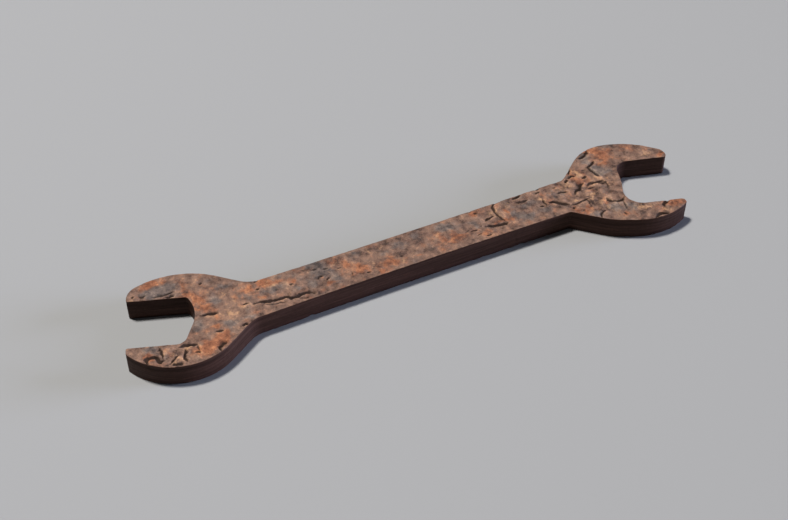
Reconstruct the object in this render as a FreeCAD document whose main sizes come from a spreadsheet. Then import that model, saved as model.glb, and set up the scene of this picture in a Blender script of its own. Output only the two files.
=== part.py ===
import FreeCAD, Part

"""Double open-ended wrench: one steel plate with a fixed open jaw at each end.

Frame: millimetres, +Z up. The origin is on the underside, at the middle of the shank. +X runs along
the shank to the large jaws, +Y across it. Each head has its own drawing frame: its origin is the
centre of the nut that the jaws hold, +X runs out of the mouth and +Y across the jaws.
"""

import math
import os
import re

import Sketcher

SHEET = "Dimensions"
SAME_PLACE = 1e-6    # how close two points of a sketch are when they are one
EDGE_SEARCH = 2.0    # how far from its stated place an edge may stand

# The driving dimensions in millimetres and degrees, each one a cell of the sheet.
DIMENSIONS = {
    "plate_thickness": 12.8,
    # The shank: a flat bar whose two long edges are slightly hollow. It ends inside the heads.
    "shank_reach": 105.0,
    "shank_half_width": 12.75,
    "shank_hollow": 0.83,
    # The small jaws. They take a nut of 32 mm across flats.
    "small_gap": 32.2,
    "small_centre_x": -133.4,
    "small_centre_y": 3.0,
    "small_turn": 161.0,
    "small_tip_radius": 1.2,
    "small_near_neck_radius": 14.5,
    "small_far_neck_radius": 12.5,
    # The large jaws. They take a nut of 36 mm across flats.
    "large_gap": 36.2,
    "large_centre_x": 131.7,
    "large_centre_y": -5.7,
    "large_turn": 344.0,
    "large_tip_radius": 2.3,
    "large_near_neck_radius": 3.0,
    "large_far_neck_radius": 7.0,
    # How far each mouth is cut from the nut's centre, which is well past the jaws' noses.
    "mouth_reach": 40.0,
}

# Each head leans over to one side of the shank. Its near side is the one it leans to, which has the
# short shoulder, and its far side has the long one. A corner is its x and y in the head's frame and
# the radius that rounds it. A throat corner on a jaw's flat has no y of its own, because the flat
# stands at half the gap, and a root lies inside the shank and stays sharp.
HEAD_CORNERS = {
    "small": {
        "near_root": (-44.0, -19.7, None),
        "near_crown": (1.0, -39.3, 44.0),
        "near_nose": (26.4, -23.6, 10.0),
        "far_nose": (25.4, 20.2, 1.5),
        "far_crown": (-2.2, 49.6, 34.0),
        "far_root": (-44.0, -3.7, None),
    },
    "large": {
        "near_root": (-47.0, -15.3, None),
        "near_shoulder": (-19.0, -29.2, 40.0),
        "near_crown": (11.1, -34.0, 37.5),
        "near_nose": (25.1, -21.6, 1.2),
        "far_nose": (26.7, 24.4, 5.8),
        "far_crown": (6.2, 35.6, 48.0),
        "far_shoulder": (-20.1, 33.6, 24.5),
        "far_root": (-47.0, -5.0, None),
    },
}
THROAT_CORNERS = {
    "small": {
        "near_throat": (-4.7, None, 2.2),
        "throat_floor": (-10.6, -6.0, 22.0),
        "far_throat": (-3.3, None, 5.6),
    },
    "large": {
        "near_throat": (-9.3, None, 10.0),
        "throat_floor": (-5.4, 1.3, 32.5),
        "far_throat": (-4.9, None, 7.8),
    },
}

# Where each neck's edge stands in the part's frame, which is how its fillet finds it.
NECK_EDGES = {
    "small_near": (-91.2, 12.5),
    "small_far": (-97.7, -12.5),
    "large_near": (87.9, -12.5),
    "large_far": (97.5, 12.5),
}


def fill_sheet(doc):
    """Write every driving dimension into the sheet under its alias."""
    sheet = doc.addObject("Spreadsheet::Sheet", SHEET)
    cells = dict(DIMENSIONS)
    for table in (HEAD_CORNERS, THROAT_CORNERS):
        for head, corners in table.items():
            for corner, sizes in corners.items():
                for axis, size in zip(("x", "y", "radius"), sizes):
                    if size is not None:
                        cells[f"{head}_{corner}_{axis}"] = size
    for row, (alias, size) in enumerate(cells.items(), start=1):
        sheet.set(f"A{row}", alias)
        sheet.set(f"B{row}", str(size))
        sheet.setAlias(f"B{row}", alias)
    doc.recompute()
    return sheet


def cell_formula(formula):
    """The same formula with each alias pointed at the sheet."""
    return re.sub(r"[a-z]\w*", lambda alias: f"{SHEET}.{alias.group()}", formula)


def evaluate(obj, formula):
    return float(obj.evalExpression(cell_formula(formula)))


def constrain(sketch, kind, *items, formula=None):
    """Add a constraint. With a formula it is a dimension that follows the sheet."""
    if formula is None:
        sketch.addConstraint(Sketcher.Constraint(kind, *items))
        return
    size = evaluate(sketch, formula)
    number = sketch.addConstraint(Sketcher.Constraint(kind, *items, size))
    sketch.setExpression(f"Constraints[{number}]", cell_formula(formula))


def new_sketch(body, name):
    """A sketch on the body's own XY plane."""
    plane = next(p for p in body.Origin.OriginFeatures if p.Role == "XY_Plane")
    sketch = body.newObject("Sketcher::SketchObject", name)
    sketch.AttachmentSupport = [(plane, "")]
    sketch.MapMode = "FlatFace"
    return sketch


def turned_sketch(body, name, head):
    """A sketch whose axes are the head's own frame."""
    sketch = new_sketch(body, name)
    turn = evaluate(sketch, f"{head}_turn")
    middle = FreeCAD.Vector(*(evaluate(sketch, f"{head}_centre_{axis}") for axis in "xy"), 0)
    spin = FreeCAD.Rotation(FreeCAD.Vector(0, 0, 1), turn)
    sketch.AttachmentOffset = FreeCAD.Placement(middle, spin)
    sketch.setExpression("AttachmentOffset.Base.x", cell_formula(f"{head}_centre_x"))
    sketch.setExpression("AttachmentOffset.Base.y", cell_formula(f"{head}_centre_y"))
    sketch.setExpression("AttachmentOffset.Rotation.Angle", cell_formula(f"{head}_turn"))
    return sketch


def corner_formulas(head, corners):
    """(x, y, radius) of each corner as formulas. A corner with no y lies on its jaw's flat."""
    formulas = []
    for corner, (_, y, radius) in corners.items():
        stem = f"{head}_{corner}"
        side = "-" if corner.startswith("near") else ""
        y_formula = f"{side}{head}_gap / 2" if y is None else f"{stem}_y"
        formulas.append((f"{stem}_x", y_formula, None if radius is None else f"{stem}_radius"))
    return formulas


def draw_rounded_loop(sketch, corners):
    """A closed loop of straight runs, each corner rounded by a tangent arc unless it has no radius.

    The loop is fully constrained: every corner's place and radius follow the sheet.
    """
    points = [FreeCAD.Vector(evaluate(sketch, x), evaluate(sketch, y), 0) for x, y, _ in corners]
    arcs, cuts = [], []
    for number, (_, _, radius) in enumerate(corners):
        corner = points[number]
        back = (points[number - 1] - corner).normalize()
        ahead = (points[(number + 1) % len(points)] - corner).normalize()
        half_angle = back.getAngle(ahead) / 2
        size = evaluate(sketch, radius) if radius else 0.0
        cut = size / math.tan(half_angle)
        cuts.append((corner + back * cut, corner + ahead * cut))
        if not radius:
            arcs.append(None)
            continue
        inward = (back + ahead).normalize()
        crest = corner + inward * (size / math.sin(half_angle) - size)
        arcs.append(Part.Arc(cuts[-1][0], crest, cuts[-1][1]))

    last = len(points) - 1
    runs = []
    for number in range(len(points)):
        ahead = 0 if number == last else number + 1
        start, end = cuts[number][1], cuts[ahead][0]
        if (end - start).dot(points[ahead] - points[number]) <= 0:
            raise RuntimeError(f"{sketch.Name}: the arcs of corners {number} and {ahead} overlap")
        runs.append(sketch.addGeometry(Part.LineSegment(start, end)))
    for number, (x, y, radius) in enumerate(corners):
        before, after = runs[number - 1], runs[number]
        if arcs[number] is None:
            constrain(sketch, "Coincident", before, 2, after, 1)
            constrain(sketch, "DistanceX", -1, 1, after, 1, formula=x)
            constrain(sketch, "DistanceY", -1, 1, after, 1, formula=y)
            continue
        arc = sketch.addGeometry(arcs[number])
        mark = sketch.addGeometry(Part.Point(points[number]), True)
        first, second = arc_ends(sketch, arc, cuts[number][0])
        constrain(sketch, "Tangent", before, 2, arc, first)
        constrain(sketch, "Tangent", after, 1, arc, second)
        constrain(sketch, "PointOnObject", mark, 1, before)
        constrain(sketch, "PointOnObject", mark, 1, after)
        constrain(sketch, "DistanceX", -1, 1, mark, 1, formula=x)
        constrain(sketch, "DistanceY", -1, 1, mark, 1, formula=y)
        constrain(sketch, "Radius", arc, formula=radius)


def arc_ends(sketch, arc, start):
    """Which end of the arc, 1 or 2, lies at the given start, and which one is the other."""
    if sketch.getPoint(arc, 1).distanceToPoint(start) < SAME_PLACE:
        return 1, 2
    return 2, 1


def draw_shank(sketch):
    """The bar: two straight ends and two long arcs that are hollow by shank_hollow."""
    reach = evaluate(sketch, "shank_reach")
    half = evaluate(sketch, "shank_half_width")
    waist = half - evaluate(sketch, "shank_hollow")
    ends = []
    for side, x in (("-", -reach), ("", reach)):
        line = Part.LineSegment(FreeCAD.Vector(x, -half, 0), FreeCAD.Vector(x, half, 0))
        end = sketch.addGeometry(line)
        constrain(sketch, "Vertical", end)
        constrain(sketch, "DistanceX", -1, 1, end, 1, formula=f"{side}shank_reach")
        constrain(sketch, "DistanceY", -1, 1, end, 1, formula="-shank_half_width")
        constrain(sketch, "DistanceY", -1, 1, end, 2, formula="shank_half_width")
        ends.append(end)
    arc_radius = "(shank_reach ^ 2 + shank_hollow ^ 2) / (2 * shank_hollow)"
    for corner, side in ((1, -1), (2, 1)):
        left = FreeCAD.Vector(-reach, side * half, 0)
        right = FreeCAD.Vector(reach, side * half, 0)
        edge = sketch.addGeometry(Part.Arc(left, FreeCAD.Vector(0, side * waist, 0), right))
        for end, tip in zip(ends, arc_ends(sketch, edge, left)):
            constrain(sketch, "Coincident", end, corner, edge, tip)
        constrain(sketch, "Radius", edge, formula=arc_radius)


def add_pad(body, sketch, name):
    """Raise the sketch from the underside to the full thickness."""
    pad = body.newObject("PartDesign::Pad", name)
    pad.Profile = sketch
    pad.setExpression("Length", cell_formula("plate_thickness"))
    sketch.Document.recompute()
    return pad


def add_mouth(body, head):
    """Cut the open mouth between the two jaws through the whole plate."""
    sketch = turned_sketch(body, f"{head}_mouth_sketch", head)
    corners = [("mouth_reach", f"-{head}_gap / 2", None)]
    corners += corner_formulas(head, THROAT_CORNERS[head])
    corners += [("mouth_reach", f"{head}_gap / 2", None)]
    draw_rounded_loop(sketch, corners)
    sketch.Document.recompute()
    solid_before = body.Shape.Volume
    mouth = body.newObject("PartDesign::Pocket", f"{head}_mouth")
    mouth.Profile = sketch
    mouth.Type = "ThroughAll"
    mouth.Reversed = True
    sketch.Document.recompute()
    if not body.Shape.Volume < solid_before:
        raise RuntimeError(f"{mouth.Name} cut nothing")


def upright_edge(shape, spot):
    """Name of the vertical edge that stands nearest to a place in plan."""

    def miss(edge):
        low, high = edge.BoundBox.ZMin, edge.BoundBox.ZMax
        tall = high - low > shape.BoundBox.ZLength / 2
        middle = edge.CenterOfMass
        return math.hypot(middle.x - spot[0], middle.y - spot[1]) if tall else math.inf

    nearest = min(range(len(shape.Edges)), key=lambda number: miss(shape.Edges[number]))
    if miss(shape.Edges[nearest]) > EDGE_SEARCH:
        raise RuntimeError(f"no upright edge stands near {spot}")
    return f"Edge{nearest + 1}"


def add_fillet(body, name, spots, radius):
    """Round the upright edges that stand at the given places."""
    base = body.Tip
    fillet = body.newObject("PartDesign::Fillet", name)
    fillet.Base = (base, [upright_edge(base.Shape, spot) for spot in spots])
    fillet.setExpression("Radius", cell_formula(radius))
    body.Document.recompute()


def jaw_tips(sheet, head):
    """Where the two jaws' flats meet the nose, in the part's frame."""
    turn = math.radians(sheet.get(f"{head}_turn"))
    centre = (sheet.get(f"{head}_centre_x"), sheet.get(f"{head}_centre_y"))
    spots = []
    for side, name in ((-1, "near"), (1, "far")):
        x = sheet.get(f"{head}_{name}_nose_x")
        y = side * sheet.get(f"{head}_gap") / 2
        spots.append((
            centre[0] + x * math.cos(turn) - y * math.sin(turn),
            centre[1] + x * math.sin(turn) + y * math.cos(turn),
        ))
    return spots


def build_wrench(doc, sheet):
    body = doc.addObject("PartDesign::Body", "wrench_body")
    body.Label = "wrench_body"
    body.Placement = FreeCAD.Placement()
    shank = new_sketch(body, "shank_sketch")
    draw_shank(shank)
    add_pad(body, shank, "shank")
    for head, corners in HEAD_CORNERS.items():
        outline = turned_sketch(body, f"{head}_head_sketch", head)
        draw_rounded_loop(outline, corner_formulas(head, corners))
        doc.recompute()
        add_pad(body, outline, f"{head}_head")
    for head in HEAD_CORNERS:
        add_mouth(body, head)
    for neck, spot in NECK_EDGES.items():
        add_fillet(body, f"{neck}_neck", [spot], f"{neck}_neck_radius")
    for head in HEAD_CORNERS:
        add_fillet(body, f"{head}_tips", jaw_tips(sheet, head), f"{head}_tip_radius")
    return body


def check(doc, parts):
    """Stop on any failed object, loose sketch or unsound solid, before anything is written."""
    for obj in doc.Objects:
        if {"Invalid", "Error"} & set(obj.State):
            raise RuntimeError(f"{obj.Name} is {obj.State}")
        if obj.TypeId == "Sketcher::SketchObject" and obj.solve() != 0:
            raise RuntimeError(f"{obj.Name} doesn't solve")
    for part in parts:
        if part.Shape.isNull() or not part.Shape.isValid() or len(part.Shape.Solids) != 1:
            raise RuntimeError(f"{part.Label} isn't one sound solid")


def main():
    doc = FreeCAD.newDocument("wrench")
    sheet = fill_sheet(doc)
    parts = [build_wrench(doc, sheet)]
    doc.recompute()
    check(doc, parts)
    os.makedirs("parts", exist_ok=True)
    for part in parts:
        part.Shape.exportStep(f"parts/{part.Label}.step")
        box = part.Shape.BoundBox
        print(part.Label, "volume", round(part.Shape.Volume), "mm3, faces", len(part.Shape.Faces))
        print("  x", round(box.XMin, 2), round(box.XMax, 2), " y", round(box.YMin, 2), round(box.YMax, 2))
        print("  z", round(box.ZMin, 2), round(box.ZMax, 2))


main()
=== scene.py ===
"""A rusted double open-ended wrench: its cracked and scaled skin, its finish and a plain studio.

The frame gives the outline and the thickness. The skin is one closed mesh in the node's place: two faces
with cracks, pits and lifting scale in them, and the walls between them with lengthwise forging streaks.
Lengths are in millimetres until the mesh is made, and in metres from there on.
"""

import math

import bpy
import numpy as np
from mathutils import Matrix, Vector
from mathutils.geometry import delaunay_2d_cdt
from mathutils.kdtree import KDTree


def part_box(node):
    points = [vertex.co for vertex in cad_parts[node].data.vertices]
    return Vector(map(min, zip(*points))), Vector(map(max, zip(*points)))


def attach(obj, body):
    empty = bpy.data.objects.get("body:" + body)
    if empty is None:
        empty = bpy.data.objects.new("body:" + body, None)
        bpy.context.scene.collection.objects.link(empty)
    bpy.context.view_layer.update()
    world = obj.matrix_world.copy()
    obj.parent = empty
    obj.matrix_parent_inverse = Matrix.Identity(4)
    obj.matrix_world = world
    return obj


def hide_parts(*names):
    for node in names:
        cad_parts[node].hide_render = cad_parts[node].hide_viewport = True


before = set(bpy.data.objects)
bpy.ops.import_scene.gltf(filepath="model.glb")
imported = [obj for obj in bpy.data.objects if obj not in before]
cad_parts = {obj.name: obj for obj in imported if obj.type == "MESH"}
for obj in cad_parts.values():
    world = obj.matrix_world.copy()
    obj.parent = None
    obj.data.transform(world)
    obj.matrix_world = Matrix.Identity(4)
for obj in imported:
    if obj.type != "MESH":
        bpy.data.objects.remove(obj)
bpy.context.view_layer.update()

NODE = "wrench_body"
MM = 0.001

# Spacing of the mesh points, mm
RIM_SPACING = 0.6
UPPER_SPACING = 0.5
UNDER_SPACING = 0.72
CRACK_SPACING = 0.36
RIM_CLEARANCE = 0.36
SAME_POINT = 1e-6
# Parts of a spacing: a grid point's jitter, and the least gap among a crack's points and round them
GRID_JITTER = 0.16
CRACK_THINNING = 0.5
CRACK_GAP = 0.6
# Places of a crack's points across it, in half widths
CRACK_LANES = (-1.0, -0.5, 0.0, 0.5, 1.0)
# Rows of quads in the walls, and the bend in degrees from which an edge of the mesh stays sharp
WALL_ROWS = 13
SHARP_ANGLE = 38.0

# Relief of the skin, mm
SCALE_STEP = 0.15
PIT_DEPTH = 0.16
GRAIN_HEIGHT = 0.04
LIP_HEIGHT = 0.16
LIP_WIDTH = 0.5
SAG_DEPTH = 0.34
SAG_REACH = 1.3
RIPPLE_HEIGHT = 0.07
CRUMPLE_HEIGHT = 0.24
EDGE_BREAK = 0.16
STREAK_DEPTH = 0.13
DENT_DEPTH = 0.1
# Plates of scale: how many levels they lie on, and how far the noise carries them to either side of the
# middle, in parts of all the levels
SCALE_COUNT = 4
PLATE_SPREAD = 0.42
# Half width of a plate's broken rim, and where it falls to the next one, in parts of one level
PLATE_RIM = 0.14
PLATE_FALL = (0.38, 0.62)
# Noise between which pits and dents sink in, and the most that crumpled patches add up to
PIT_RANGE = (0.55, 1.0)
DENT_RANGE = (0.5, 1.0)
CRUMPLE_LIMIT = 1.2
# Wear of the faces' edges in parts of EDGE_BREAK: the least, and what the chips add to it
LEAST_WEAR = 0.55
CHIP_WEAR = 0.8
# How much longer than high the walls' streaks are
STREAK_STRETCH = 14.0

# Noises of the skin: size of the features in mm, offset from the seed of the face or wall, number of
# layers, and the strength of each layer against the one before it where it isn't the usual
NOISES = {
    "plates": (11.0, 0, 3),
    "broad": (16.0, 1, 3),
    "middle": (4.0, 2, 3),
    "veins": (6.0, 4, 3),
    "orange": (6.5, 5, 4),
    "grey": (9.0, 6, 4),
    "pale": (3.0, 7, 3),
    "pits": (2.2, 20, 2),
    "grain": (1.6, 30, 2),
    "ripple": (4.6, 70, 2, 0.35),
    "mottle": (2.4, 23, 2),
    "chips": (3.0, 71, 3),
    "streaks": (1.5, 610, 3),
    "dents": (3.5, 620, 2),
}

# Wandering of what is drawn on the skin: size and reach in mm, and offset from the face's seed
WARPS = {
    "plates": (2.5, 0.7, 90),
    "patch": (5.0, 1.3, 0),
    "patch_edge": (1.6, 0.6, 11),
    "crack": (2.6, 0.5, 0),
    "crack_edge": (0.9, 0.16, 7),
}

# Offsets of the other noises from the face's seed
CRACK_DRAW = 40
SCRATCH_DRAW = 45
SWELL_DRAW = 3
CRUMPLE_DRAW = 60
PATCH_DRAWS = {"orange": 0, "pale": 100, "grey": 200, "tone": 300}

# What each colour mask starts from, and how much of each mark is added to it
MASK_START = {"tone": 0.46, "orange": 0.24, "grey": 0.20, "pale": 0.0}
# In the weights the lip mark is painted highlight on the cracks' raised lips, and the fold mark is
# painted highlight on fold crests and painted shade in fold hollows
MASK_WEIGHTS = {
    "tone": {"broad": 0.19, "middle": 0.26, "rim": -0.14, "lip": 0.25, "fold_highlight_and_shade": 0.28, "tone_patch": 1.0},
    "orange": {"orange_patch": 1.0, "orange_noise": 0.42, "grey_patch": -0.45},
    "grey": {"grey_patch": 1.0, "grey_noise": 0.46, "orange_patch": -0.45},
    "pale": {"pale_patch": 1.0, "vein": 0.65, "pale_noise": 0.30, "lip": 0.55, "fold_highlight_and_shade": 0.35,
             "scratch": 0.6},
}
# How much painted shade a pit gets, how strong the folds' painted highlight and shade are outside
# crumpled skin, the power that thins the veins, and how mottled the patches are
PIT_PAINTED_SHADE = 0.5
FOLD_BASE = 0.25
VEIN_SHARPNESS = 9
PATCH_MOTTLE = 0.45

# Half width and depth of each kind of crack, mm
CRACK_KINDS = {
    "open": (1.2, 1.1),
    "deep": (1.04, 0.9),
    "plain": (0.8, 0.6),
    "faint": (0.66, 0.35),
}
# The random cracks: how often each kind turns up, the length of a step in mm, the number of steps from
# the first up to below the second, and how far they turn at a step, in radians
CRACK_SHARES = (0.08, 0.24, 0.43, 0.25)
CRACK_STEP = 2.4
CRACK_STEPS = (1, 6)
CRACK_TURN = 0.5
# How far a crack shows round its path, the gap to its lip, and the nearest place that has a side, mm
CRACK_REACH = 3.0
LIP_GAP = 0.25
ON_PATH = 0.05
# How much a crack narrows at its ends, and over which part of its length
CRACK_TAPER = 0.4
CRACK_TAPER_PART = 0.2
# How much a crack's width swells, as a part of it, and the size of the swellings and the shift from one
# crack's to the next one's in mm
CRACK_SWELL = 0.24
SWELL_CELL = 1.8
SWELL_SHIFT = 31.0
# Power of the slope from a crack's rim to its middle
CRACK_PROFILE = 0.9
# Painted shade of a crack: its darkness without depth and what each millimetre adds, how far it spreads
# in half widths and how much less towards the lit lip, and how quickly it fades
SHADE_START = 0.5
SHADE_PER_DEPTH = 0.6
SHADE_SPREAD = 1.15
SHADE_LEAN = 0.25
SHADE_SLOPE = 1.25

# Cracks of the upper face, mm
CRACKS = (
    ("deep", ((-121.8, 1.2), (-119.5, 0.8), (-117.5, 0.3), (-115.5, -0.3), (-112.9, -0.8))),
    ("plain", ((-99.8, -1.1), (-96.8, -0.9))),
    ("open", ((-94.3, -2.5), (-91, -2.5), (-89, -3.8), (-85, -4.3), (-81.5, -5.5), (-78.5, -5.1),
              (-76.5, -5.9), (-75.5, -7.2), (-72.5, -7.6), (-70.5, -7), (-67.5, -6.8), (-65.4, -7.4),
              (-63.2, -9))),
    ("faint", ((-90, -5.5), (-85, -7.2), (-79, -8.7))),
    ("faint", ((-72, -9), (-67.5, -10.7))),
    ("open", ((-138.9, -14.2), (-136.5, -14.5), (-134, -15.4), (-130, -16.2))),
    ("plain", ((-119, -12.7), (-117, -13), (-114.6, -13.6))),
    ("deep", ((-105.7, -14.3), (-103.5, -14.3), (-102.1, -14.7))),
    ("open", ((-156.1, -19), (-156.2, -15.7), (-154.3, -15.1), (-150.8, -16.2), (-150.4, -20),
              (-147.7, -19.3))),
    ("plain", ((-147.7, -10), (-147.4, -13.5), (-148.2, -18.3))),
    ("plain", ((-146.3, -23.3), (-143, -21), (-140.8, -19.2))),
    ("deep", ((-138, -25), (-138.3, -22), (-136.6, -19.3), (-136, -17.2))),
    ("deep", ((-145.4, -24), (-143, -24.9), (-140.4, -25.7))),
    ("plain", ((-132.9, -21.4), (-130, -21.8))),
    ("faint", ((-130, -17), (-130, -21.3))),
    ("deep", ((-121, -25.8), (-120.3, -23.4), (-118.5, -22), (-116, -21.4))),
    ("plain", ((-140, 24.4), (-136, 23.4), (-131.3, 23.1), (-128.5, 23.4))),
    ("deep", ((-133.5, 21), (-129, 20.8))),
    ("plain", ((-149.6, 28.9), (-148.4, 28.5))),
    ("plain", ((-145.4, 26.7), (-142.5, 26.9))),
    ("plain", ((-115, 22.6), (-113, 23.2))),
    ("plain", ((-89, 11.6), (-87, 12))),
    ("plain", ((-89.7, 6.1), (-87.8, 6.2))),
    ("plain", ((-58.2, 6.9), (-55.3, 7))),
    ("plain", ((-52.5, 4.9), (-50, 5.1))),
    ("plain", ((-57.5, -0.5), (-57, 0.5), (-54.7, 0.7))),
    ("plain", ((-54, -3), (-52, -2))),
    ("faint", ((-73, 2.1), (-71, 2.2))),
    ("faint", ((-45.8, 2.3), (-43.5, 2.3))),
    ("plain", ((-32.8, -7.3), (-30.6, -7.3))),
    ("faint", ((-40, -5.3), (-39.6, -4))),
    ("faint", ((-12, -4), (-10, -4))),
    ("plain", ((30.4, -2.8), (33, -3.3), (35.4, -3.3))),
    ("open", ((39.8, -2.9), (42.3, -3.3), (44.8, -4.4), (47.7, -4.8), (51, -5.4), (52.7, -5))),
    ("plain", ((56.5, 11.9), (52.6, 11.3), (51, 9.6), (50.3, 6), (50.5, 2), (51.3, -2), (52.3, -4.8))),
    ("deep", ((42.2, 1.3), (44.4, 2.4), (47.8, 2.9))),
    ("deep", ((64.2, 10.6), (66.8, 11), (69.2, 11.7))),
    ("deep", ((64.3, 7.1), (67.7, 6.5), (71.5, 6.7))),
    ("plain", ((78.1, 9.4), (80.7, 9.5))),
    ("plain", ((78, 11.9), (82, 11.7))),
    ("plain", ((78.8, 3.2), (78.8, -2.4))),
    ("plain", ((37.5, 11.7), (38.2, 11.5))),
    ("plain", ((38.9, 9.2), (41, 9.2))),
    ("faint", ((33, -7), (35.5, -6.8))),
    ("plain", ((37.3, -9.8), (40.2, -9.2))),
    ("faint", ((37.6, -1), (38.4, -1.2))),
    ("plain", ((74.8, -1.5), (77.7, -2))),
    ("open", ((80.6, -0.4), (84, -1.6), (85.7, -2.9), (87.8, -5.3), (90.4, -6.8))),
    ("plain", ((91, -7.8), (94.8, -8.2), (98.2, -7.4), (101, -7), (104, -7))),
    ("plain", ((90.3, -10.7), (92.3, -10.3))),
    ("deep", ((97.8, -0.7), (99.4, 1.1), (101.9, 1.8), (103.6, 3.4), (104.8, 5.1), (106.9, 5.5))),
    ("deep", ((107.8, 2.6), (109.8, 3.6), (112.8, 3.2), (115.3, 3), (118.2, 2.6))),
    ("plain", ((106.5, 0.3), (110.7, -0.1))),
    ("plain", ((114.8, 1.8), (117.8, 0.7))),
    ("faint", ((118.2, 2.6), (118.8, 0.5), (118.3, -3.3))),
    ("deep", ((122.3, 19.3), (120.7, 17.8), (117.8, 16.8), (115.7, 16.2))),
    ("deep", ((115.7, 16.2), (116.5, 13.8), (116.9, 11.3), (117.3, 8.8), (118.3, 6.3))),
    ("deep", ((114.4, 25.7), (117.3, 25.1), (120.7, 25.9), (122.8, 27.6), (123.2, 29.3))),
    ("deep", ((103.6, 15.9), (104.8, 17.6), (106.1, 18.4))),
    ("deep", ((101.1, 12.8), (104, 13.3), (105.8, 12.6))),
    ("deep", ((97.8, 9.8), (99.4, 11.2), (100.7, 11.5))),
    ("deep", ((109, 9.4), (111.1, 9.8))),
    ("faint", ((111.5, 14.8), (113.6, 15))),
    ("faint", ((89, 8.8), (91.1, 9))),
    ("plain", ((89, 4.3), (91.9, 4), (94.8, 2.6))),
    ("deep", ((111.9, -11.2), (111.9, -13.3), (114.4, -14.9), (116.9, -16.2), (119, -16.2),
              (121.1, -14.9))),
    ("faint", ((101.1, -6.2), (101.5, -9.5), (100.7, -13.7))),
    ("plain", ((100.7, -24.1), (101.9, -21.6), (104, -19.9), (106.5, -19.5))),
    ("faint", ((118.6, -17), (118.2, -20.3), (117.3, -23.7))),
    ("faint", ((114.2, -25.3), (114.7, -27.8))),
    ("open", ((141.5, -27.6), (139, -28.7), (137.6, -29.4), (137.3, -30.8))),
    ("open", ((127.8, -36.4), (129.8, -35.3), (131.9, -34.9), (134, -35.6), (135.7, -37))),
    ("faint", ((160.4, 9.4), (163, 9.2))),
    ("faint", ((94.7, -14.6), (95.9, -14.4))),
)

# Patches of colour on the upper face: x, y, half length, half width in mm, and strength
ORANGE_PATCHES = (
    (-84.5, 8.8, 3, 3.5, 1.4), (-88, -0.6, 3, 1.5, 1.0), (-93, 8.4, 3.5, 3, 0.9),
    (-117, -17.8, 4, 3.5, 1.5), (-126, -21, 6, 4.5, 1.2), (-134.8, 34, 5, 2.3, 0.7),
    (-143.8, 32, 3, 2.5, 0.3), (-122.5, 20, 3, 4.5, 0.8), (-118.5, 9, 4, 7, 0.9),
    (-114.7, -4.2, 2, 1.5, 0.6), (-117.8, -9, 2.5, 1.5, 0.8), (-154.5, -14, 3, 4, 0.9),
    (-66.6, 10.4, 1.5, 1.5, 0.8), (-75.5, 6.8, 4, 1.5, 1.0), (-70.5, 3.5, 2, 1.5, 0.8),
    (-55, -0.8, 1.5, 1, 0.7), (-52.8, -6, 2.2, 1.4, 1.2), (-35, -3.5, 5, 4, 1.1),
    (-25.3, -9.3, 2.3, 2, 1.3), (-19, -6.5, 7, 4, 0.7), (-2.8, -7, 1.5, 1, 0.8), (11.8, 2.9, 5, 3, 0.5),
    (19, -4, 6, 4, 0.7), (37.7, 8, 2.5, 2, 0.8), (37.3, -6.7, 2.5, 2.5, 0.8), (48, -2.5, 3, 1.5, 0.9),
    (52.7, -2.5, 1, 2, 0.7), (56, 3.3, 1, 3, 0.7), (63.3, 11.3, 2, 1, 0.7), (106.5, 13, 5, 5, 0.6),
    (128.2, 24.7, 6, 5, 0.7), (142.3, 22.2, 5, 3, 0.4), (127, 17.5, 5, 4, 0.7),
    (160.8, 8.2, 2.5, 2, 1.3), (109.9, -14.3, 2, 3, 0.7), (93, -13.7, 3, 3, 0.6),
    (143.2, -30.3, 5, 3, 1.1), (151, -32, 3, 2, 0.9), (-41, 3, 4, 5, 0.4), (-45, 8, 6, 3, 0.4),
    (-138, 33, 6, 2.2, 0.8), (-123, 27, 2.5, 4, 0.6), (126, 28, 3, 3, 0.6), (148, 19, 4, 3, 0.2),
    (136, 24, 3, 2, 0.5), (25, -3, 5, 0.8, 0.6), (39, 10, 2, 1.5, 0.8), (94, -16, 3, 2, 0.6),
    (99, -12, 2, 2, 0.6), (114, -27, 3, 2, 0.6), (-100, 12, 3, 2, 0.5), (57, -3, 4, 4, 0.5),
    (85, 5, 4, 4, 0.5), (107, 6, 4, 4, 0.6), (-97, 5, 4, 3, 0.4),
)
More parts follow.
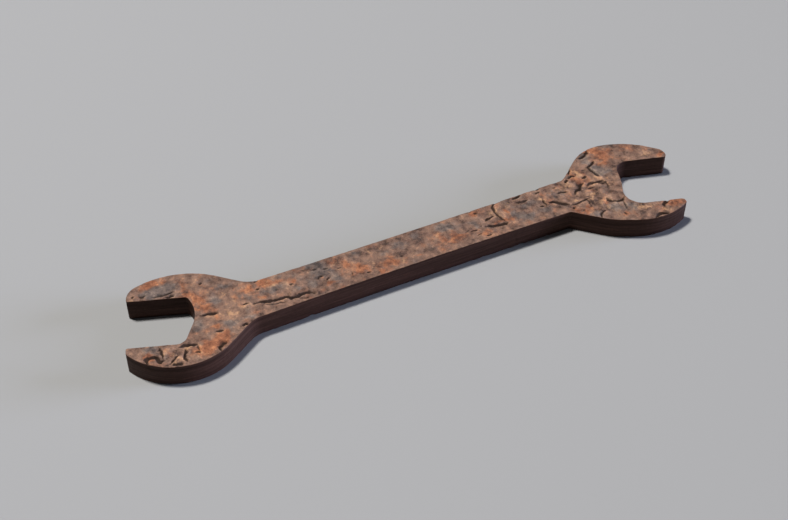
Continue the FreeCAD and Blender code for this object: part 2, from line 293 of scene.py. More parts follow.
PALE_PATCHES = (
    (-107.4, -3.6, 1.4, 2.6, 1.0), (-105.2, -5.6, 2.6, 1.2, 0.9), (-74, -2.5, 3, 2, 0.7),
    (-17, 0.3, 1.5, 0.8, 1.0), (-11.6, -8, 2, 2, 0.8), (78, 4.7, 1.5, 2, 0.9), (71.8, -10.8, 2, 1, 0.7),
    (105.7, -4.5, 3, 2.5, 0.9), (94.9, 7, 4, 3, 0.6), (129, -28, 3, 2, 0.9), (136, -33, 3, 2, 0.8),
    (-80, 5.3, 4, 0.8, 0.8), (-50, 3.5, 0.8, 3, 0.8), (-50, -2.5, 3, 0.8, 0.8), (-92, 8, 3, 1.2, 0.7),
    (-106, -12, 3, 3, 0.5), (106, -12, 3, 4, 0.6), (-84.5, 8.8, 2.2, 2.4, 0.7),
    (121.5, 1.5, 0.8, 3.5, 0.8), (-129, -24, 5, 2, 0.6), (-142, -22, 4, 2.5, 0.6),
    (126.5, 29.5, 4, 1.5, 0.5), (-111, -2, 3, 2, 0.7), (-106, 10, 3, 2, 0.6), (-103, 4, 2, 3, 0.6),
    (-135, -17, 2, 2, 0.8), (-143, -17, 2.5, 2, 0.7), (-99, -3, 4, 2, 0.7), (48, 6, 3, 3, 0.8),
    (12, 2, 4, 2, 0.6), (59, 6, 2, 4, 0.6), (108, 13, 3, 4, 1.0), (153, 13, 5, 3, 0.7),
    (97, -6, 4, 1.5, 0.7), (109, -17, 2, 3, 0.7), (125, -25, 5, 2, 0.8), (-28, -3, 4, 3, 0.5),
    (-62, 7, 2, 2, 0.5), (-45, 6, 4, 1, 0.6), (70, -9, 6, 2, 0.5), (-152, -7, 3, 1.5, 0.6),
    (-150, 27, 3, 3, 0.7), (100, 6, 3, 2, 0.5), (113, 6, 4, 1.5, 0.5), (82, -8, 4, 2, 0.5),
)
GREY_PATCHES = (
    (-137, 28.2, 8, 3.5, 0.9), (-130.5, 27.5, 5, 3, 1.0), (-153, -9.5, 5, 4, 0.8),
    (-104.5, 15.8, 4, 3, 1.1), (-97, 4.5, 3, 3, 0.8), (-109.7, -10, 4, 2, 0.8), (-58, 10.5, 5, 2, 0.9),
    (-55.5, 4.4, 5, 4.5, 1.3), (-61.5, -3, 4, 4, 0.8), (-49, -4.5, 4, 3, 0.7), (-81, 2.5, 5, 2.5, 0.7),
    (-76, 10.5, 4, 1.5, 0.7), (-33.5, 8.5, 3, 3, 0.8), (-20, 3, 6, 2, 0.6), (3, 8, 3, 3, 0.7),
    (18.5, 6.7, 4, 3, 1.0), (36, 0.8, 2, 3, 0.8), (58, -1, 5, 2, 0.7), (66, -5, 6, 3, 1.1),
    (68, 3, 5, 2, 0.8), (85, 4, 3, 3, 0.9), (119.5, 12, 3, 5, 1.3), (125, 8, 4, 3, 0.7),
    (117, 21, 3, 2, 0.8), (112, -21, 6, 4, 0.8), (121, -22, 3, 3, 1.0), (-137, 25, 6, 2, 0.6),
    (-126, -5, 3.5, 3, 0.8), (119, 25, 3, 2.5, 0.9), (138, 28, 4, 2, 0.7), (101, -21, 2.5, 3, 0.8),
    (76, -5, 4, 2, 0.7), (68, 10, 3, 1.5, 0.7), (21, 6, 4, 3, 0.6), (-112, 8, 3, 3, 0.6),
    (-100, -10, 4, 3, 0.6), (-8, 5, 4, 3, 0.6), (30, 5, 4, 4, 0.6), (-70, -1, 3, 2, 0.6),
)

# Broad light and dark places of the upper face: x, y, half length, half width in mm, and strength
TONE_PATCHES = (
    (-62, 8.5, 15, 3.8, -0.22), (-27, 8.5, 14, 4.5, -0.30), (-13, 7, 10, 5, -0.12),
    (-34, -3.5, 4, 4, 0.16), (8, -6, 7, 3.5, -0.22), (-6, -2, 6, 4, -0.1), (8, 5, 4, 3, 0.08),
    (-104, 4, 15, 12, 0.12), (-118, -10, 7, 8, 0.10), (-144, -14, 5, 4, 0.12), (-139, 24, 4, 3, -0.12),
    (-48, -7, 6, 3, 0.08), (56, -4, 12, 6, -0.08), (71, 5, 5, 8, -0.14), (75, -6, 7, 4, -0.14),
    (90, 7, 6, 4, 0.26), (99, -2, 5, 7, 0.1), (92, -9.5, 4, 5, -0.2), (85, -5, 5, 3, -0.1),
    (112, -14, 4, 5, 0.26), (110, 8, 5, 5, 0.12), (131, 10, 8, 4, -0.16), (139, -31, 8, 3, -0.12),
    (106, 14, 3, 4, -0.12), (124, -28, 5, 4, -0.08), (125, 3, 5, 4, -0.06),
)

# Pale scratches of the upper face, mm, and how wide they are
SCRATCHES = (
    ((-25.4, 11.6), (-26, 8.6), (-24.8, 5.8), (-23.4, 4.2)),
    ((-23.4, 4.2), (-19.5, 6.2), (-15, 8.7), (-12, 10.5)),
    ((-10.5, -5.6), (-12.2, -8), (-13.4, -11.6)),
    ((49.6, 5.5), (53, 7.6), (55.8, 6.9)),
    ((78.2, 5.2), (78.6, -1.5)),
)
SCRATCH_WIDTH = 0.55

# Places where the scale has crumpled: x, y, half length, half width in mm, and strength
CRUMPLED = (
    (-142, -19, 10, 6, 1.0), (-137, 25, 9, 4, 0.6), (-120, -22, 5, 4, 0.6), (-84, -5, 12, 4, 0.4),
    (48, 2, 9, 9, 0.6), (74, 8, 9, 5, 0.5), (90, 0, 9, 12, 0.7), (106, 8, 12, 14, 1.0),
    (108, -14, 11, 12, 1.0), (120, 24, 7, 7, 0.8), (134, -33, 8, 4, 0.8), (117, 3, 7, 8, 0.8),
)
# The way that the cracked scale leans: from the sagging side of a crack to its raised lip
LEAN = (0.66, -0.75)

# The random cracks and patches of the underside: seed and count
UNDER_CRACKS = (83, 46)
UNDER_PATCHES = {"orange": (91, 70), "pale": (92, 40), "grey": (93, 50)}
UNDER_CRUMPLES = (94, 12)
# Spans that the random patches' reach in x and y, in mm, and their strength are drawn from
PATCH_SPANS = ((1.5, 6.0), (1.2, 4.0), (0.6, 1.2))
# Seeds of the two faces, and of the walls and the edges between
UPPER_SEED = 10
UNDER_SEED = 410
WALL_SEED = 0

# Studio, metres and degrees
CAMERA_PLACE = (-0.2364, -0.4605, 0.4974)
CAMERA_TURN = (46.239, 0.0, -25.798)
CAMERA_LENS = 60.74
SENSOR_WIDTH = 36.0
FLOOR_HALF = 20.0
SUN_DISTANCE = 2.0
SKY_COLOUR = (0.9, 0.95, 1.0, 1.0)
SKY_STRENGTH = 0.05


def smooth(value, low, high):
    """0 below low, 1 above high and an S-curve between."""
    part = np.clip((value - low) / (high - low), 0.0, 1.0)
    return part * part * (3.0 - 2.0 * part)


def noise(x, y, cell, seed):
    """Gradient noise of about -1 to 1 whose features are about one cell across."""
    table = 256
    gain = 1.7
    draw = np.random.default_rng(seed)
    angle = draw.uniform(0.0, 2.0 * np.pi, table)
    order = draw.permutation(table)
    u = np.asarray(x, float) / cell
    v = np.asarray(y, float) / cell
    column = np.floor(u).astype(int)
    row = np.floor(v).astype(int)
    u = u - column
    v = v - row
    total = 0.0
    for i in (0, 1):
        across = smooth(u if i else 1.0 - u, 0.0, 1.0)
        for j in (0, 1):
            along = smooth(v if j else 1.0 - v, 0.0, 1.0)
            turn = angle[order[(order[(column + i) % table] + row + j) % table]]
            slope = np.cos(turn) * (u - i) + np.sin(turn) * (v - j)
            total = total + across * along * slope
    return gain * total


def layered(x, y, cell, seed, layers=4, gain=0.55):
    """Noise with finer layers on top of it, about -1 to 1."""
    total = 0.0
    weight = 1.0
    full = 0.0
    for layer in range(layers):
        total = total + weight * noise(x, y, cell / 2.0 ** layer, seed + layer)
        full += weight ** 2
        weight *= gain
    return total / math.sqrt(full)


def skin_noise(name, x, y, seed):
    """One of the skin's noises, about -1 to 1."""
    cell, offset, *shape = NOISES[name]
    return layered(x, y, cell, seed + offset, *shape)


def warped(name, x, y, seed):
    """The points moved about by noise, so that what is drawn through them wanders."""
    cell, reach, offset = WARPS[name]
    layers = 3
    across = 50
    moved_x = x + reach * layered(x, y, cell, seed + offset, layers)
    moved_y = y + reach * layered(x, y, cell, seed + offset + across, layers)
    return moved_x, moved_y


def weighted(name, marks):
    """A colour mask: its starting value and its share of each mark."""
    total = MASK_START[name]
    for mark, weight in MASK_WEIGHTS[name].items():
        total = total + weight * marks[mark]
    return total


# ---------------------------------------------------------------- outline

def boundary_of_top(node):
    """The outer edge of the node's upper face: its corners in order, counter-clockwise, in mm."""
    mesh = node.data
    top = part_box(NODE)[1].z
    upward = 0.9
    close = 0.1 * MM
    digits = 4
    edges = set()
    for face in mesh.polygons:
        if face.normal.z < upward or abs(mesh.vertices[face.vertices[0]].co.z - top) > close:
            continue
        spots = [tuple(round(c / MM, digits) for c in mesh.vertices[i].co[:2]) for i in face.vertices]
        edges.update(zip(spots, spots[1:] + spots[:1]))
    following = {start: end for start, end in edges if (end, start) not in edges}
    first = min(following)
    loop = [first]
    while following[loop[-1]] != first:
        loop.append(following[loop[-1]])
    return np.array(loop)


def resample(loop, spacing):
    """The closed loop with its own corners kept and its long edges divided."""
    points = []
    for start, end in zip(loop, np.roll(loop, -1, axis=0)):
        parts = max(1, round(np.linalg.norm(end - start) / spacing))
        for part in range(parts):
            points.append(start + (end - start) * part / parts)
    return np.array(points)


def outward_normals(loop):
    """Unit vectors that point out of a counter-clockwise loop."""
    along = np.roll(loop, -1, axis=0) - np.roll(loop, 1, axis=0)
    normal = np.stack([along[:, 1], -along[:, 0]], axis=1)
    return normal / np.linalg.norm(normal, axis=1)[:, None]


def inside(loop, x, y):
    """Whether each point is inside the loop, by counting the edges that a ray crosses."""
    odd = np.zeros(x.shape, bool)
    for (ax, ay), (bx, by) in zip(loop, np.roll(loop, -1, axis=0)):
        if ay == by:
            continue
        spans = (ay > y) != (by > y)
        odd ^= spans & (x < ax + (bx - ax) * (y - ay) / (by - ay))
    return odd


def tree_of(points):
    """A search tree of flat points."""
    tree = KDTree(len(points))
    for index, (x, y) in enumerate(points):
        tree.insert((x, y, 0.0), index)
    tree.balance()
    return tree


def distance_to(tree, points):
    """How far each point is from the nearest one in the tree."""
    return np.array([tree.find((x, y, 0.0))[2] for x, y in points])


# ---------------------------------------------------------------- cracks

def crack_warp(x, y, seed):
    """Moves points so that a straight crack comes out ragged."""
    x, y = warped("crack", x, y, seed)
    return warped("crack_edge", x, y, seed)


def wandering_cracks(seed, count, loop):
    """Cracks that start at random places within the loop and wander."""
    draw = np.random.default_rng(seed)
    low = loop.min(axis=0)
    high = loop.max(axis=0)
    cracks = []
    while len(cracks) < count:
        point = draw.uniform(low, high)
        if not inside(loop, point[:1], point[1:])[0]:
            continue
        kind = draw.choice(list(CRACK_KINDS), p=CRACK_SHARES)
        turn = draw.uniform(0.0, 2.0 * np.pi)
        points = [point]
        for _ in range(draw.integers(*CRACK_STEPS)):
            turn += draw.normal(0.0, CRACK_TURN)
            points.append(points[-1] + CRACK_STEP * np.array([math.cos(turn), math.sin(turn)]))
        cracks.append((str(kind), tuple(tuple(p) for p in points)))
    return tuple(cracks)


def crack_points(cracks, seed):
    """Mesh points along the middle, the flanks and the rims of every crack."""
    found = []
    for kind, corners in cracks:
        half = CRACK_KINDS[kind][0]
        for start, end in zip(corners, corners[1:]):
            start = np.array(start)
            end = np.array(end)
            length = np.linalg.norm(end - start)
            along = (end - start) / length
            across = np.array([-along[1], along[0]])
            for step in np.arange(0.0, length, CRACK_SPACING):
                for side in CRACK_LANES:
                    found.append(start + along * step + across * side * half)
    found = np.array(found)
    x, y = crack_warp(found[:, 0], found[:, 1], seed)
    return 2.0 * found - np.stack([x, y], axis=1)


def nearest_on_path(x, y, corners):
    """Distance to a path of straight runs, place along it from 0 to 1, and side: 1 where the lip is."""
    corners = np.array(corners)
    runs = np.linalg.norm(np.diff(corners, axis=0), axis=1)
    reached = np.concatenate([[0.0], np.cumsum(runs)])
    distance = np.full(x.shape, np.inf)
    place = np.zeros(x.shape)
    side = np.zeros(x.shape)
    for start, run, (ax, ay), (bx, by) in zip(reached, runs, corners, corners[1:]):
        ux = (bx - ax) / run
        uy = (by - ay) / run
        along = np.clip((x - ax) * ux + (y - ay) * uy, 0.0, run)
        dx = x - ax - along * ux
        dy = y - ay - along * uy
        here = np.hypot(dx, dy)
        closer = here < distance
        distance = np.where(closer, here, distance)
        place = np.where(closer, (start + along) / reached[-1], place)
        side = np.where(closer, (dx * LEAN[0] + dy * LEAN[1]) / np.maximum(here, ON_PATH), side)
    return distance, place, side


def crack_relief(x, y, cracks, seed):
    """Depth of the cracks, height of the lips beside them and their painted shade, at each point."""
    depth = np.zeros(x.shape)
    lip = np.zeros(x.shape)
    painted_shade = np.zeros(x.shape)
    wx, wy = crack_warp(x, y, seed)
    for number, (kind, corners) in enumerate(cracks):
        half, deepest = CRACK_KINDS[kind]
        low = np.min(corners, axis=0) - CRACK_REACH
        high = np.max(corners, axis=0) + CRACK_REACH
        near = np.flatnonzero((wx > low[0]) & (wx < high[0]) & (wy > low[1]) & (wy < high[1]))
        distance, place, side = nearest_on_path(wx[near], wy[near], corners)
        from_end = smooth(np.minimum(place, 1.0 - place), 0.0, CRACK_TAPER_PART)
        taper = 1.0 - CRACK_TAPER + CRACK_TAPER * from_end
        uneven = noise(x[near] + SWELL_SHIFT * number, y[near], SWELL_CELL, seed + SWELL_DRAW)
        swell = 1.0 + CRACK_SWELL * uneven
        width = half * taper * swell
        fall = np.clip(1.0 - distance / width, 0.0, 1.0)
        sag = SAG_DEPTH * deepest * np.clip(-side, 0.0, 1.0) * np.exp(-distance / SAG_REACH)
        depth[near] = np.maximum(depth[near], taper * (deepest * fall ** CRACK_PROFILE + sag))
        ridge = np.exp(-((distance - width - LIP_GAP) / LIP_WIDTH) ** 2) * np.clip(side, 0.0, 1.0)
        lip[near] = np.maximum(lip[near], LIP_HEIGHT * taper * ridge)
        # Painted shade: darker where the crack is deeper, spreading further on the side away from the
        # lit lip
        spread = SHADE_SPREAD - SHADE_LEAN * side
        shade = np.clip(SHADE_SLOPE * (spread - distance / width), 0.0, 1.0)
        darkest = (SHADE_START + SHADE_PER_DEPTH * deepest) * taper
        painted_shade[near] = np.maximum(painted_shade[near], darkest * shade)
    return depth, lip, painted_shade


# ---------------------------------------------------------------- faces

def scale_plates(x, y, seed):
    """Flakes of scale that lie over each other: height from 0 to 1, and 1 along their broken rims."""
    wx, wy = warped("plates", x, y, seed)
    level = SCALE_COUNT * (0.5 + PLATE_SPREAD * skin_noise("plates", wx, wy, seed))
    whole = np.floor(level)
    part = level - whole
    rim = np.clip(1.0 - np.abs(part - 0.5) / PLATE_RIM, 0.0, 1.0)
    height = (whole + smooth(part, *PLATE_FALL)) / SCALE_COUNT
    return np.clip(height, 0.0, 1.0), rim


def face_relief(x, y, cracks, crumpled, seed):
    """How far the skin lies below the flat face, in mm, and its marks: plate rims and painted light and
    shade.
    """
    plates, rim = scale_plates(x, y, seed)
    pits = smooth(skin_noise("pits", x, y, seed), *PIT_RANGE)
    grain = skin_noise("grain", x, y, seed)
    crumple = np.clip(patch_field(x, y, crumpled, seed + CRUMPLE_DRAW), 0.0, CRUMPLE_LIMIT)
    ripple = (RIPPLE_HEIGHT + CRUMPLE_HEIGHT * crumple) * skin_noise("ripple", x, y, seed)
    depth, lip, painted_shade = crack_relief(x, y, cracks, seed + CRACK_DRAW)
    below = SCALE_STEP * (1.0 - plates) + PIT_DEPTH * pits + depth - lip
    below = below - GRAIN_HEIGHT * grain - ripple + CRUMPLE_HEIGHT * crumple
    # Painted highlight on the folds' crests and painted shade in their hollows, following the ripple's
    # height
    fold_highlight_and_shade = ripple / (RIPPLE_HEIGHT + CRUMPLE_HEIGHT) * (FOLD_BASE + crumple)
    # Painted shade in the pits, joined to the painted shade of the cracks
    painted_shade = np.maximum(painted_shade, PIT_PAINTED_SHADE * pits)
    marks = {"painted_shade": painted_shade, "rim": rim, "lip": lip / LIP_HEIGHT, "fold_highlight_and_shade": fold_highlight_and_shade}
    return below - below.min(), marks


def patch_field(x, y, patches, seed):
    """Soft blots with wandering edges, one for each patch, added up."""
    wx, wy = warped("patch", x, y, seed)
    wx, wy = warped("patch_edge", wx, wy, seed)
    total = np.zeros(x.shape)
    for px, py, rx, ry, strength in patches:
        total += strength * np.exp(-((wx - px) / rx) ** 2 - ((wy - py) / ry) ** 2)
    return total * (1.0 + PATCH_MOTTLE * skin_noise("mottle", x, y, seed))


def scratch_field(x, y, scratches, seed):
    """1 along the scratches, fading out within their width."""
    wx, wy = crack_warp(x, y, seed)
    total = np.zeros(x.shape)
    for corners in scratches:
        distance, _, _ = nearest_on_path(wx, wy, corners)
        total = np.maximum(total, np.exp(-(distance / SCRATCH_WIDTH) ** 2))
    return total


def scattered_patches(seed, count, loop):
    """Patches at random places, for the face that has none chosen."""
    draw = np.random.default_rng(seed)
    low = loop.min(axis=0)
    high = loop.max(axis=0)
    patches = []
    for _ in range(count):
        x, y = draw.uniform(low, high)
        patches.append((x, y, *(draw.uniform(*span) for span in PATCH_SPANS)))
    return tuple(patches)


def face_colours(x, y, marks, patches, scratches, seed):
    """The masks that the skin's material mixes its colours by, at each point."""
    marks = dict(marks)
    for name, offset in PATCH_DRAWS.items():
        marks[f"{name}_patch"] = patch_field(x, y, patches[name], seed + offset)
    for name in ("orange", "grey", "pale"):
        marks[f"{name}_noise"] = skin_noise(name, x, y, seed)
    for name in ("broad", "middle"):
        marks[name] = skin_noise(name, x, y, seed)
    marks["vein"] = (1.0 - np.abs(skin_noise("veins", x, y, seed))) ** VEIN_SHARPNESS
    marks["scratch"] = scratch_field(x, y, scratches, seed + SCRATCH_DRAW)
    masks = {name: weighted(name, marks) for name in MASK_WEIGHTS}
    masks["painted_shade"] = marks["painted_shade"]
    return masks


def filled_grid(loop, spacing, extra, seed):
    """Points that fill the loop: the extra ones, and a jittered triangular grid round them."""
    draw = np.random.default_rng(seed)
    low = loop.min(axis=0)
    high = loop.max(axis=0)
    pitch = spacing * math.sqrt(3.0) / 2.0
    rows = np.arange(low[1], high[1], pitch)
    grid = []
    for number, y in enumerate(rows):
        x = np.arange(low[0] + 0.5 * spacing * (number % 2), high[0], spacing)
        grid.append(np.stack([x, np.full(x.shape, y)], axis=1))
    grid = np.vstack(grid)
    grid += draw.uniform(-GRID_JITTER, GRID_JITTER, grid.shape) * spacing
    rim = tree_of(loop)
    extra = extra[inside(loop, extra[:, 0], extra[:, 1])]
    extra = extra[distance_to(rim, extra) > RIM_CLEARANCE]
    grid = grid[inside(loop, grid[:, 0], grid[:, 1])]
    grid = grid[distance_to(rim, grid) > RIM_CLEARANCE]
    kept = thinned(extra, CRACK_THINNING * CRACK_SPACING)
    grid = grid[distance_to(tree_of(kept), grid) > CRACK_GAP * spacing]
    return np.vstack([kept, grid])


def thinned(points, gap):
    """The points without those that lie closer than the gap to one before them."""
    tree = tree_of(points)
    kept = np.ones(len(points), bool)
    for index, (x, y) in enumerate(points):
        if not kept[index]:
            continue
        for _, other, _ in tree.find_range((x, y, 0.0), gap):
            if other > index:
                kept[other] = False
    return points[kept]


def triangulate(loop, inner):
    """The loop's points and the inner ones joined by triangles that keep to the loop's inside."""
    points = np.vstack([loop, inner])
    count = len(loop)
    edges = [(i, (i + 1) % count) for i in range(count)]
    inside_only = 1
    made = delaunay_2d_cdt([Vector(p) for p in points], edges, [], inside_only, SAME_POINT)
    _, _, faces, sources, _, _ = made
    corners = np.array([sources[i][0] for face in faces for i in face]).reshape(-1, 3)
    a, b, c = (points[corners[:, i]] for i in range(3))
    turn = (b[:, 0] - a[:, 0]) * (c[:, 1] - a[:, 1]) - (b[:, 1] - a[:, 1]) * (c[:, 0] - a[:, 0])
    corners[turn < 0] = corners[turn < 0][:, ::-1]
    return points, corners


# ---------------------------------------------------------------- walls

def wall_rows(loop, top, under):
    """Points of the walls between the two faces' edges, row by row, with forging streaks in them."""
    normal = outward_normals(loop)
    along = np.concatenate([[0.0], np.cumsum(np.linalg.norm(np.diff(loop, axis=0), axis=1))])
    high = top - EDGE_BREAK
    low = under + EDGE_BREAK
    rows = []
    for part in np.arange(WALL_ROWS - 1) / (WALL_ROWS - 2):
        z = high + (low - high) * part
        streak = skin_noise("streaks", along / STREAK_STRETCH, z, WALL_SEED)
        dent = smooth(skin_noise("dents", along, z, WALL_SEED), *DENT_RANGE)
        inset = STREAK_DEPTH * np.clip(0.5 - 0.5 * streak, 0.0, 1.0) + DENT_DEPTH * dent
        rows.append(np.column_stack([loop - normal * inset[:, None], z]))
    return rows


# ---------------------------------------------------------------- skin

def build_skin():
    """The wrench's skin as one closed mesh, with its colour masks stored on its points."""
    thickness = (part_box(NODE)[1].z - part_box(NODE)[0].z) / MM
    loop = resample(boundary_of_top(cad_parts[NODE]), RIM_SPACING)
    chip = np.clip(0.5 + 0.5 * skin_noise("chips", *loop.T, WALL_SEED), 0.0, 1.0)
    worn = EDGE_BREAK * (LEAST_WEAR + CHIP_WEAR * chip)
    edge = loop - outward_normals(loop) * worn[:, None]
    chosen = {"orange": ORANGE_PATCHES, "pale": PALE_PATCHES, "grey": GREY_PATCHES,
              "tone": TONE_PATCHES}
    scattered = {name: scattered_patches(*draw, loop) for name, draw in UNDER_PATCHES.items()}
    scattered["tone"] = ()
    under_cracks = wandering_cracks(*UNDER_CRACKS, loop)
    under_crumpled = scattered_patches(*UNDER_CRUMPLES, loop)
    faces = (
        (CRACKS, CRUMPLED, chosen, SCRATCHES, UPPER_SPACING, UPPER_SEED),
        (under_cracks, under_crumpled, scattered, (), UNDER_SPACING, UNDER_SEED),
    )
    points = []
    triangles = []
    masks = []
    for cracks, crumpled, patches, scratches, spacing, seed in faces:
        inner = filled_grid(edge, spacing, crack_points(cracks, seed + CRACK_DRAW), seed)
        flat, corners = triangulate(edge, inner)
        x, y = flat.T
        below, marks = face_relief(x, y, cracks, crumpled, seed)
        is_upper = seed == UPPER_SEED
        z = thickness - below if is_upper else below
        masks.append(face_colours(x, y, marks, patches, scratches, seed))
        points.append(np.column_stack([flat, z]))
        triangles.append(corners if is_upper else corners[:, ::-1])
    top_z, under_z = (face[:len(edge), 2] for face in points)
    rows = wall_rows(loop, top_z, under_z)
    return make_mesh(points, triangles, masks, rows, len(edge))


def make_mesh(points, triangles, masks, rows, rim):
    """Joins the two faces and the rows of the walls into one mesh object."""
    first_under = len(points[0])
    first_row = first_under + len(points[1])
    every = np.vstack(points + rows) * MM
    ladder = [np.arange(rim)]
    ladder += [first_row + rim * number + np.arange(rim) for number in range(len(rows))]
    ladder.append(first_under + np.arange(rim))
    walls = []
    for upper, lower in zip(ladder, ladder[1:]):
        walls.append(np.column_stack([upper, lower, np.roll(lower, -1), np.roll(upper, -1)]))
    walls = np.vstack(walls)
    flats = np.vstack([triangles[0], triangles[1] + first_under])
    mesh = bpy.data.meshes.new("wrench_skin")
    mesh.from_pydata(every.tolist(), [], flats.tolist() + walls.tolist())
    slots = np.concatenate([np.zeros(len(flats), int), np.ones(len(walls), int)])
    mesh.polygons.foreach_set("material_index", slots)
    for name in masks[0]:
        values = np.concatenate([masks[0][name], masks[1][name], np.zeros(len(every) - first_row)])
        layer = mesh.attributes.new(name, "FLOAT", "POINT")
        layer.data.foreach_set("value", values)
    mesh.polygons.foreach_set("use_smooth", np.ones(len(mesh.polygons), bool))
    mesh.set_sharp_from_angle(angle=math.radians(SHARP_ANGLE))
    mesh.validate()
    skin = bpy.data.objects.new("wrench_skin", mesh)
    bpy.context.scene.collection.objects.link(skin)
    return skin


# ---------------------------------------------------------------- materials

def linear(red, green, blue):
    """An everyday 0 to 255 colour as the linear colour that a shader takes."""
    values = []
    for channel in (red, green, blue):
        part = channel / 255.0
        values.append(part / 12.92 if part <= 0.04045 else ((part + 0.055) / 1.055) ** 2.4)
    return (*values, 1.0)


class Graph:
    """A material's nodes, with one short method for each kind of step used here. Sizes are in mm."""

    def __init__(self, name):
        self.material = bpy.data.materials.new(name)
        self.material.use_nodes = True
        self.nodes = self.material.node_tree.nodes
        self.links = self.material.node_tree.links
        self.shader = self.nodes["Principled BSDF"]
        self.place = self.nodes.new("ShaderNodeTexCoord").outputs["Object"]

    def feed(self, value, socket):
        """Links an output to a socket, or sets a plain number or colour on it."""
        if isinstance(value, bpy.types.NodeSocket):
            self.links.new(value, socket)
        else:
            socket.default_value = value

    def attribute(self, name):
        """A mask stored on the mesh points."""
        node = self.nodes.new("ShaderNodeAttribute")
        node.attribute_name = name
        return node.outputs["Fac"]

    def noise(self, size, detail, roughness, stretch=(1.0, 1.0, 1.0), shift=0.0):
        """Noise whose features are about size mm across, times the stretch along each axis."""
        mapping = self.nodes.new("ShaderNodeMapping")
        mapping.inputs["Scale"].default_value = [1.0 / (MM * size * part) for part in stretch]
        mapping.inputs["Location"].default_value = (shift, shift, shift)
        self.links.new(self.place, mapping.inputs["Vector"])
        node = self.nodes.new("ShaderNodeTexNoise")
        node.inputs["Scale"].default_value = 1.0
        node.inputs["Detail"].default_value = detail
        node.inputs["Roughness"].default_value = roughness
        self.links.new(mapping.outputs["Vector"], node.inputs["Vector"])
        return node.outputs["Fac"]

    def cells(self, size):
        """Distance to the nearest of scattered points that are about size mm apart."""
        mapping = self.nodes.new("ShaderNodeMapping")
        mapping.inputs["Scale"].default_value = [1.0 / (MM * size)] * 3
        self.links.new(self.place, mapping.inputs["Vector"])
        node = self.nodes.new("ShaderNodeTexVoronoi")
        node.inputs["Scale"].default_value = 1.0
        self.links.new(mapping.outputs["Vector"], node.inputs["Vector"])
        return node.outputs["Distance"]

    def step(self, operation, first, second):
        """One arithmetic step."""
        node = self.nodes.new("ShaderNodeMath")
        node.operation = operation
        self.feed(first, node.inputs[0])
        self.feed(second, node.inputs[1])
        return node.outputs["Value"]

    def sway(self, value, pattern, amount):
        """The value moved up and down by a 0 to 1 pattern."""
        centred = self.step("SUBTRACT", pattern, 0.5)
        return self.step("ADD", value, self.step("MULTIPLY", centred, amount))

    def between(self, value, low, high, out_low=0.0, out_high=1.0):
        """The value carried from one range to another, with soft ends."""
        node = self.nodes.new("ShaderNodeMapRange")
        node.interpolation_type = "SMOOTHSTEP"
        self.feed(value, node.inputs["Value"])
        node.inputs["From Min"].default_value = low
        node.inputs["From Max"].default_value = high
        node.inputs["To Min"].default_value = out_low
        node.inputs["To Max"].default_value = out_high
        return node.outputs["Result"]

    def ramp(self, value, stops):
        """A colour for each value, from (value, colour) stops."""
        node = self.nodes.new("ShaderNodeValToRGB")
        band = node.color_ramp
        while len(band.elements) < len(stops):
            band.elements.new(0.5)
        for element, (place, colour) in zip(band.elements, stops):
            element.position = place
            element.color = colour
        self.feed(value, node.inputs["Fac"])
        return node.outputs["Color"]

    def mix(self, factor, first, second):
        """Two colours mixed."""
        node = self.nodes.new("ShaderNodeMix")
        node.data_type = "RGBA"
        self.feed(factor, node.inputs["Factor"])
        self.feed(first, node.inputs["A"])
        self.feed(second, node.inputs["B"])
        return node.outputs["Result"]

    def finish(self, colour, roughness, height, relief):
        """Sets the shader's colour, roughness and bump, the relief in mm."""
        bump = self.nodes.new("ShaderNodeBump")
        bump.inputs["Distance"].default_value = relief * MM
        self.links.new(height, bump.inputs["Height"])
        self.links.new(colour, self.shader.inputs["Base Color"])
        self.links.new(roughness, self.shader.inputs["Roughness"])
        self.links.new(bump.outputs["Normal"], self.shader.inputs["Normal"])
        return self.material


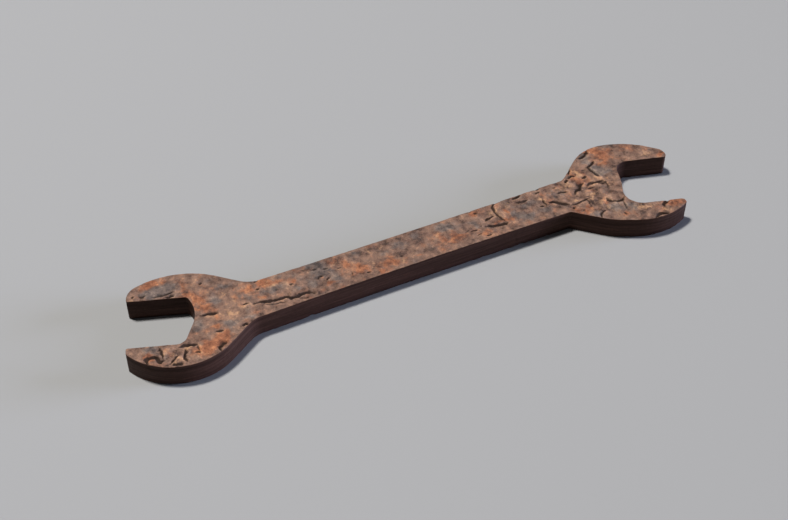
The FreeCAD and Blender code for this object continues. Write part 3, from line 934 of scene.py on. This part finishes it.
def rust_and_painted_light_face():
    """Layered rust: brown oxide, orange blooms, blue-grey scale and pale dust, with painted shade in the
    cracks and pits and painted highlight on the cracks' lips and the folds.
    """
    graph = Graph("rust_and_painted_light_face")
    coarse = graph.noise(2.4, detail=5.0, roughness=0.62)
    fine = graph.noise(0.8, detail=4.0, roughness=0.65, shift=5.3)
    grit = graph.noise(0.28, detail=3.0, roughness=0.7, shift=11.7)
    # The tone mask holds painted highlight on the cracks' lips and the folds' crests and painted shade
    # in the folds' hollows
    tone = graph.sway(graph.attribute("tone"), coarse, 0.86)
    tone = graph.sway(tone, fine, 0.8)
    colour = graph.ramp(tone, (
        (0.05, linear(66, 49, 42)),
        (0.28, linear(108, 82, 69)),
        (0.50, linear(133, 103, 87)),
        (0.72, linear(154, 119, 98)),
        (0.97, linear(196, 150, 116)),
    ))
    grey = graph.between(graph.sway(graph.attribute("grey"), fine, 0.8), 0.2, 0.95, out_high=0.85)
    scale = graph.ramp(tone, (
        (0.05, linear(64, 56, 53)),
        (0.50, linear(113, 99, 92)),
        (0.95, linear(164, 142, 124)),
    ))
    colour = graph.mix(grey, colour, scale)
    orange = graph.between(graph.sway(graph.attribute("orange"), coarse, 1.0), 0.25, 1.1, out_high=0.9)
    bloom = graph.ramp(tone, (
        (0.05, linear(98, 58, 42)),
        (0.50, linear(160, 101, 70)),
        (0.95, linear(218, 148, 102)),
    ))
    colour = graph.mix(orange, colour, bloom)
    # The pale mask adds painted highlight on the cracks' lips and the folds' crests to pale dust, veins
    # and scratches
    pale = graph.between(graph.sway(graph.attribute("pale"), fine, 1.0), 0.45, 1.55, out_high=0.78)
    colour = graph.mix(pale, colour, linear(202, 156, 117))
    speck = graph.between(graph.cells(0.9), 0.30, 0.12, out_high=0.45)
    colour = graph.mix(speck, colour, linear(70, 52, 44))
    # Painted shade in the cracks and pits, darkened towards this colour
    painted_shade = graph.between(graph.sway(graph.attribute("painted_shade"), grit, 0.3), 0.1, 0.85, out_high=0.95)
    colour = graph.mix(painted_shade, colour, linear(51, 36, 29))
    smoother = graph.between(grey, 0.0, 1.0, out_low=0.86, out_high=0.66)
    roughness = graph.sway(smoother, fine, 0.25)
    height = graph.step("ADD", graph.step("MULTIPLY", fine, 0.7), graph.step("MULTIPLY", grit, 0.45))
    graph.shader.inputs["Specular IOR Level"].default_value = 0.3
    return graph.finish(colour, roughness, height, relief=0.27)


def rusted_wall():
    """Dark forged oxide with lengthwise streaks and a little rust breaking through."""
    graph = Graph("rusted_wall")
    streak = graph.noise(0.9, detail=5.0, roughness=0.6, stretch=(26.0, 26.0, 1.0))
    band = graph.noise(2.6, detail=2.0, roughness=0.5, stretch=(34.0, 34.0, 1.0), shift=3.1)
    fine = graph.noise(0.7, detail=4.0, roughness=0.65, stretch=(2.0, 2.0, 1.0), shift=8.4)
    patch = graph.noise(7.0, detail=4.0, roughness=0.6, stretch=(1.6, 1.6, 0.7), shift=1.9)
    tone = graph.sway(graph.sway(streak, band, 0.8), fine, 0.35)
    colour = graph.ramp(tone, (
        (0.20, linear(48, 31, 25)),
        (0.50, linear(65, 44, 37)),
        (0.80, linear(84, 58, 50)),
    ))
    rust = graph.between(graph.sway(patch, fine, 0.5), 0.62, 0.84, out_high=0.45)
    colour = graph.mix(rust, colour, linear(104, 64, 46))
    roughness = graph.between(tone, 0.2, 0.8, out_low=0.62, out_high=0.46)
    height = graph.step("ADD", graph.step("MULTIPLY", streak, 0.6), graph.step("MULTIPLY", fine, 0.5))
    graph.shader.inputs["Specular IOR Level"].default_value = 0.08
    return graph.finish(colour, roughness, height, relief=0.22)


# ---------------------------------------------------------------- studio

def make_floor():
    """A plain pale floor that the wrench lies on."""
    mesh = bpy.data.meshes.new("floor")
    corners = [(x * FLOOR_HALF, y * FLOOR_HALF, 0.0) for x, y in ((-1, -1), (1, -1), (1, 1), (-1, 1))]
    mesh.from_pydata(corners, [], [(0, 1, 2, 3)])
    floor = bpy.data.objects.new("floor", mesh)
    bpy.context.scene.collection.objects.link(floor)
    material = bpy.data.materials.new("pale_floor")
    material.use_nodes = True
    shader = material.node_tree.nodes["Principled BSDF"]
    shader.inputs["Base Color"].default_value = linear(168, 168, 168)
    shader.inputs["Roughness"].default_value = 0.95
    shader.inputs["Specular IOR Level"].default_value = 0.1
    mesh.materials.append(material)


def add_area_light(name, towards, distance, size, power, colour):
    """A square area light in a direction from the wrench, aimed back at it."""
    data = bpy.data.lights.new(name, "AREA")
    data.size = size
    data.energy = power
    data.color = colour
    hang_lamp(name, data, towards, distance)


def add_sun_light(name, towards, width, strength, colour):
    """An even light from one direction, as wide in the sky as an angle in degrees."""
    data = bpy.data.lights.new(name, "SUN")
    data.angle = math.radians(width)
    data.energy = strength
    data.color = colour
    hang_lamp(name, data, towards, SUN_DISTANCE)


def hang_lamp(name, data, towards, distance):
    """Puts a lamp in a direction from the wrench and aims it back."""
    lamp = bpy.data.objects.new(name, data)
    direction = Vector(towards).normalized()
    lamp.location = direction * distance
    lamp.rotation_euler = direction.to_track_quat("Z", "Y").to_euler()
    bpy.context.scene.collection.objects.link(lamp)


def light_studio():
    """A steep key light from behind on the left, a low cool fill from the right, and a dim sky."""
    add_area_light("key_light", towards=(-0.21, 0.24, 0.95), distance=4.0, size=0.5, power=168.0,
                   colour=(1.0, 0.98, 0.95))
    add_sun_light("right_fill", towards=(0.95, -0.3, 0.08), width=24.0, strength=6.2,
                  colour=(0.62, 0.70, 1.0))
    world = bpy.data.worlds.new("studio")
    world.use_nodes = True
    sky = world.node_tree.nodes["Background"]
    sky.inputs["Color"].default_value = SKY_COLOUR
    sky.inputs["Strength"].default_value = SKY_STRENGTH
    bpy.context.scene.world = world


def place_camera():
    """The camera at the three-quarter view from above, over the near side of the small jaws."""
    data = bpy.data.cameras.new("camera")
    data.lens = CAMERA_LENS
    data.sensor_width = SENSOR_WIDTH
    camera = bpy.data.objects.new("camera", data)
    camera.location = CAMERA_PLACE
    camera.rotation_euler = [math.radians(turn) for turn in CAMERA_TURN]
    bpy.context.scene.collection.objects.link(camera)
    bpy.context.scene.camera = camera
    bpy.context.scene.view_settings.view_transform = "Standard"


skin = build_skin()
skin.data.materials.append(rust_and_painted_light_face())
skin.data.materials.append(rusted_wall())
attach(skin, "root")
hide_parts(NODE)
make_floor()
light_studio()
place_camera()
